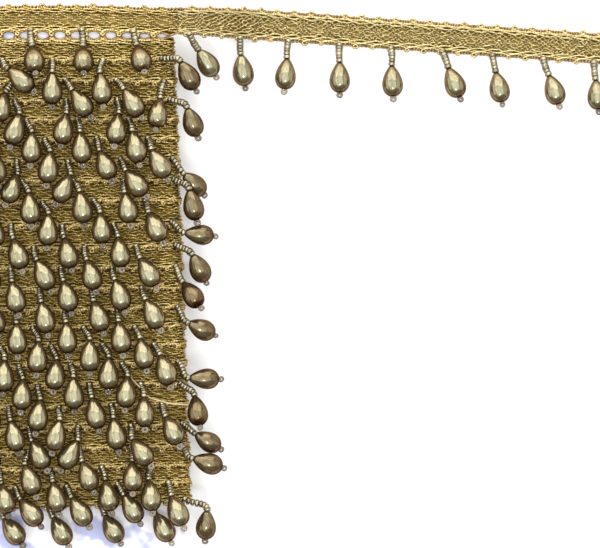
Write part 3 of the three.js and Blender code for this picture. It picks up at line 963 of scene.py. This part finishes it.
def noise(tree, size, detail=2.0):
    """Noise with blotches of this size in millimetres. Its output runs from 0 to 1."""
    place = node(tree, "ShaderNodeTexCoord")
    texture = node(tree, "ShaderNodeTexNoise")
    texture.inputs["Scale"].default_value = 1 / (size * MM)
    texture.inputs["Detail"].default_value = detail
    tree.links.new(place.outputs["Object"], texture.inputs["Vector"])
    return texture.outputs["Fac"]


def ramp(tree, value, *stops):
    """Colours between stops, each a place from 0 to 1 and a colour."""
    made = node(tree, "ShaderNodeValToRGB")
    band = made.color_ramp
    while len(band.elements) < len(stops):
        band.elements.new(0.5)
    for element, (place, colour) in zip(band.elements, stops):
        element.position = place
        element.color = (*colour, 1)
    tree.links.new(value, made.inputs["Fac"])
    return made.outputs["Color"]


def sums(tree, operation, *values):
    """The outcome of an operation on values, each a number or the output of another node."""
    made = node(tree, "ShaderNodeMath", operation=operation)
    for socket, value in zip(made.inputs, values):
        if isinstance(value, (int, float)):
            socket.default_value = value
        else:
            tree.links.new(value, socket)
    return made.outputs[0]


def bump(tree, shader, height, depth, strength=1.0):
    """Relief of this depth in millimetres."""
    made = node(tree, "ShaderNodeBump")
    made.inputs["Distance"].default_value = depth * MM
    made.inputs["Strength"].default_value = strength
    tree.links.new(height, made.inputs["Height"])
    tree.links.new(made.outputs["Normal"], shader.inputs["Normal"])


def strand_parts(tree):
    """A point's place on its strand: along, round and the strand's own number."""
    strand = node(tree, "ShaderNodeAttribute", attribute_name="strand")
    parts = node(tree, "ShaderNodeSeparateXYZ")
    tree.links.new(strand.outputs["Vector"], parts.inputs[0])
    return parts.outputs


def twist(tree, pitch):
    """Slanting plies along a strand, from 0 to 1, one for each pitch in millimetres."""
    along, around, _ = strand_parts(tree)
    turns = sums(tree, "ADD", sums(tree, "DIVIDE", along, pitch), around)
    wave = sums(tree, "SINE", sums(tree, "MULTIPLY", turns, 2 * np.pi))
    return sums(tree, "MULTIPLY_ADD", wave, 0.5, 0.5)


def stretches(tree, along, around):
    """Noise over each strand, in stretches of these sizes. Its output runs from 0 to 1."""
    strand = node(tree, "ShaderNodeAttribute", attribute_name="strand")
    spread = node(tree, "ShaderNodeMapping")
    spread.inputs["Scale"].default_value = (1 / along, 1 / around, STRAND_SPREAD)
    texture = node(tree, "ShaderNodeTexNoise")
    texture.inputs["Scale"].default_value = 1
    tree.links.new(strand.outputs["Vector"], spread.inputs["Vector"])
    tree.links.new(spread.outputs["Vector"], texture.inputs["Vector"])
    return texture.outputs["Fac"]


def yarn_look(name, dark, middle, light, roughness):
    """Metallic gold yarn, with plies twisted along it and a scatter of light and dark stretches."""
    material, tree, shader = look(
        name,
        metallic=0.85,
        roughness=roughness,
        coat_weight=1.0,
        coat_ior=1.03,
        coat_roughness=0.2,
        coat_tint=(0.84, 0.73, 0.5, 1),
    )
    plies = twist(tree, PLY_PITCH)
    scatter = sums(tree, "ADD", noise(tree, size=0.7, detail=3.0), stretches(tree, along=1.3, around=2.0))
    value = sums(
        tree,
        "ADD",
        sums(tree, "MULTIPLY", plies, PLY_SHARE),
        sums(tree, "MULTIPLY", scatter, SCATTER_SHARE),
    )
    colours = ramp(tree, value, (0.48, dark), (0.7, middle), (0.92, light))
    tree.links.new(colours, shader.inputs["Base Color"])
    bump(tree, shader, plies, depth=0.12, strength=0.7)
    return material


def pearl_look():
    """A silvery pearl coat streaked along the bead, under a champagne coat that looks deeper aslant,
    darkened by painted shade.
    """
    material, tree, shader = look(
        "champagne_pearl",
        metallic=0.84,
        roughness=0.17,
        specular_tint=(0.2, 0.1, 0.06, 1),
        coat_weight=1.0,
        coat_ior=1.07,
        coat_roughness=0.1,
        coat_tint=(0.6, 0.346, 0.222, 1),
    )
    # Painted shade pulls the streaks down to the ramp's two darkest stops, the maroon and olive shade colours
    lacquer = node(tree, "ShaderNodeAttribute", attribute_name="lacquer").outputs["Fac"]
    streaks = sums(tree, "MULTIPLY_ADD", stretches(tree, along=0.7, around=0.7), STREAK_SHARE, STREAK_RISE)
    colours = ramp(
        tree,
        sums(tree, "SUBTRACT", streaks, lacquer),
        (0.22, (0.07, 0.045, 0.03)),
        (0.38, (0.2, 0.23, 0.17)),
        (0.66, (0.4, 0.665, 0.64)),
        (0.8, (0.56, 0.93, 0.97)),
    )
    tree.links.new(colours, shader.inputs["Base Color"])
    bump(tree, shader, stretches(tree, along=0.9, around=0.9), depth=0.03, strength=0.3)
    return material


def glass_look(name, first, second, roughness, transmission, metallic):
    """Tinted glass, its tint between two from bead to bead, with some metal lining."""
    material, tree, shader = look(
        name,
        roughness=roughness,
        transmission_weight=transmission,
        metallic=metallic,
        coat_weight=metallic,
        coat_ior=1.06,
        coat_tint=(0.66, 0.57, 0.45, 1),
    )
    tints = ramp(tree, strand_parts(tree)["Z"], (0.0, first), (1.0, second))
    tree.links.new(tints, shader.inputs["Base Color"])
    bump(tree, shader, noise(tree, size=0.5), depth=0.05, strength=0.3)
    return material


def card_look():
    """White paper board with a faint tooth and lavender patches of painted shade, fewer towards the top."""
    material, tree, shader = look("white_card", roughness=0.75)
    parts = node(tree, "ShaderNodeSeparateXYZ")
    tree.links.new(node(tree, "ShaderNodeTexCoord").outputs["Generated"], parts.inputs[0])
    clear = sums(tree, "MULTIPLY", parts.outputs["Y"], CARD_SHADE_CLEARING)
    value = sums(tree, "ADD", noise(tree, size=8.0), clear)
    # The lavender is painted shade, in patches that thin out towards the card's top
    mottle = ramp(tree, value, (0.4, (0.48, 0.51, 0.76)), (0.5, (0.96, 0.96, 0.99)))
    tree.links.new(mottle, shader.inputs["Base Color"])
    bump(tree, shader, noise(tree, size=0.35, detail=3.0), depth=0.05, strength=0.5)
    return material


def floor_look():
    """A pale matt floor."""
    material, tree, shader = look("pale_floor", roughness=0.9)
    mottle = ramp(tree, noise(tree, size=90.0), (0.3, (0.93, 0.93, 0.93)), (0.7, (0.95, 0.95, 0.95)))
    tree.links.new(mottle, shader.inputs["Base Color"])
    return material


# One gold yarn in two copies: this one painted darker for the shade on the roll
YARN_PAINTED_SHADE_LOOK = yarn_look(
    "gold_yarn_painted_darker",
    dark=(0.21, 0.165, 0.045),
    middle=(0.72, 0.64, 0.34),
    light=(1.0, 1.0, 0.84),
    roughness=0.34,
)
# The same yarn painted lighter, for the light on the loose end
TAIL_YARN_PAINTED_LIGHT_LOOK = yarn_look(
    "gold_yarn_painted_lighter",
    dark=(0.41, 0.39, 0.22),
    middle=(0.82, 0.82, 0.58),
    light=(1.0, 1.0, 0.96),
    roughness=0.36,
)
# The band behind the yarns, its colour painted shade seen between them: deep on the turns below the top one
CORE_PAINTED_SHADE_LOOK = yarn_look(
    "gold_core_painted_deep_shade",
    dark=(0.045, 0.033, 0.004),
    middle=(0.13, 0.097, 0.015),
    light=(0.27, 0.21, 0.05),
    roughness=0.6,
)
# The same band painted lighter shade, for the top turn and the loose end
CORE_PAINTED_LIGHTER_SHADE_LOOK = yarn_look(
    "gold_core_painted_lighter_shade",
    dark=(0.1, 0.08, 0.03),
    middle=(0.24, 0.195, 0.08),
    light=(0.42, 0.35, 0.16),
    roughness=0.6,
)
EDGING_LOOK = yarn_look(
    "rose_gold_yarn",
    dark=(0.2, 0.14, 0.09),
    middle=(0.54, 0.43, 0.31),
    light=(0.94, 0.84, 0.68),
    roughness=0.4,
)
STITCH_LOOK = yarn_look(
    "pale_yarn",
    dark=(0.8, 0.74, 0.6),
    middle=(0.95, 0.9, 0.8),
    light=(1.0, 1.0, 0.95),
    roughness=0.6,
)
PEARL_LOOK = pearl_look()
STEM_LOOK = glass_look(
    "champagne_glass",
    first=(0.58, 0.6, 0.51),
    second=(0.28, 0.28, 0.23),
    roughness=0.26,
    transmission=0.0,
    metallic=0.9,
)
END_BEAD_LOOK = glass_look(
    "grey_glass",
    first=(0.4, 0.34, 0.26),
    second=(0.13, 0.11, 0.085),
    roughness=0.08,
    transmission=0.6,
    metallic=0.0,
)
CARD_LOOK = card_look()


# Floor, light and camera

def make_floor():
    """A level square under the roll."""
    half = FLOOR_SIZE / 2
    corners = [(-half, -half, 0), (half, -half, 0), (half, half, 0), (-half, half, 0)]
    mesh = bpy.data.meshes.new("floor")
    mesh.from_pydata(corners, [], [(0, 1, 2, 3)])
    mesh.materials.append(floor_look())
    floor = bpy.data.objects.new("floor", mesh)
    bpy.context.scene.collection.objects.link(floor)


def make_light(lamp):
    """A lamp that faces the frame's origin."""
    data = bpy.data.lights.new(lamp.name, "AREA")
    data.shape = "RECTANGLE"
    data.size, data.size_y = lamp.size
    data.energy = lamp.power
    light = bpy.data.objects.new(lamp.name, data)
    light.location = lamp.place
    light.rotation_euler = (-Vector(lamp.place)).to_track_quat("-Z", "Y").to_euler()
    light.visible_camera = False
    bpy.context.scene.collection.objects.link(light)


def make_world():
    """Even white light from all round."""
    world = bpy.data.worlds.new("studio")
    world.use_nodes = True
    background = world.node_tree.nodes["Background"]
    background.inputs["Color"].default_value = (1, 1, 1, 1)
    background.inputs["Strength"].default_value = WORLD_STRENGTH
    bpy.context.scene.world = world


def make_camera():
    """A camera over the roll whose picture is VIEW_WIDTH wide at the winding's front."""
    data = bpy.data.cameras.new("camera")
    data.lens = CAMERA_LENS
    data.sensor_width = SENSOR_WIDTH
    camera = bpy.data.objects.new("camera", data)
    x, y = (np.array(VIEW_MIDDLE) + SHIFT[:2]) * MM
    distance = VIEW_WIDTH * CAMERA_LENS / SENSOR_WIDTH
    camera.location = (x, y, (FRONT_Z + distance) * MM)
    camera.rotation_euler = (0, 0, VIEW_TURN)
    bpy.context.scene.collection.objects.link(camera)
    bpy.context.scene.camera = camera


# The whole roll

make_camera()
make_world()
for lamp in LAMPS:
    make_light(lamp)
make_floor()
bpy.context.scene.view_settings.view_transform = "Standard"

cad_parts["card"].data.materials.clear()
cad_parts["card"].data.materials.append(CARD_LOOK)

make_wound_braid()
tail_core, *tail_strands = make_tail_braid()
make_loose_stitch()
for turn, front in enumerate(part_beads([front_drops(turn) for turn in range(len(TURNS))])):
    name = f"turn_{turn + 1:02d}"
    back = back_drops(turn) if turn else []
    make_drops(name, front + back, [f"{name}_drops"])
fall_pieces = make_drops("tail_fall", tail_drops(0, TAIL_FALL), ["tail_fall_drops"])
tail_pieces = make_drops("tail", tail_drops(TAIL_FALL, TAIL_LENGTH), ["tail_drops"])
